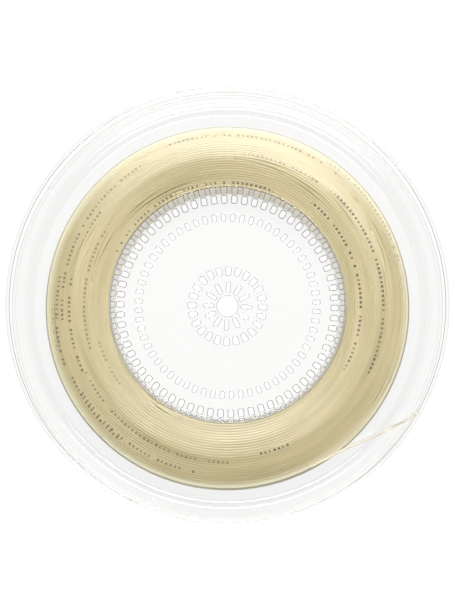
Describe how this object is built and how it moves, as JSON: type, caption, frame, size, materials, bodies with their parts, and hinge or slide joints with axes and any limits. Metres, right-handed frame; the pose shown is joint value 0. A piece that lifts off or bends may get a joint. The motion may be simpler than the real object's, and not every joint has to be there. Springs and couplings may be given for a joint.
{
  "type": "string reel",
  "caption": "Clear plastic two-flange reel wound with racket string, its drum closed at the back by a slotted web with a spindle hole, the string's end threaded out through a rim hole.",
  "frame": {"origin": "middle of the reel's resting face: on the reel's axis, at the outer face of the rear flange's outer band, on which it lies", "axes": "+Z along the reel's axis from the closed rear web to the open front of the drum; +Y is the side away from which the loose winding has slipped; +X to the right of a viewer looking at the front with +Y up"},
  "size_m": [0.22, 0.22, 0.0322],
  "materials": {
    "clear_plastic": "clear, glossy, moulded polystyrene",
    "string": "translucent natural nylon, semi-gloss"
  },
  "bodies": {
    "root": {"drum_core": "clear_plastic", "rear_flange": "clear_plastic", "front_flange": "clear_plastic", "string_winding": "string", "string_tail": "string"}
  },
  "joints": []
}
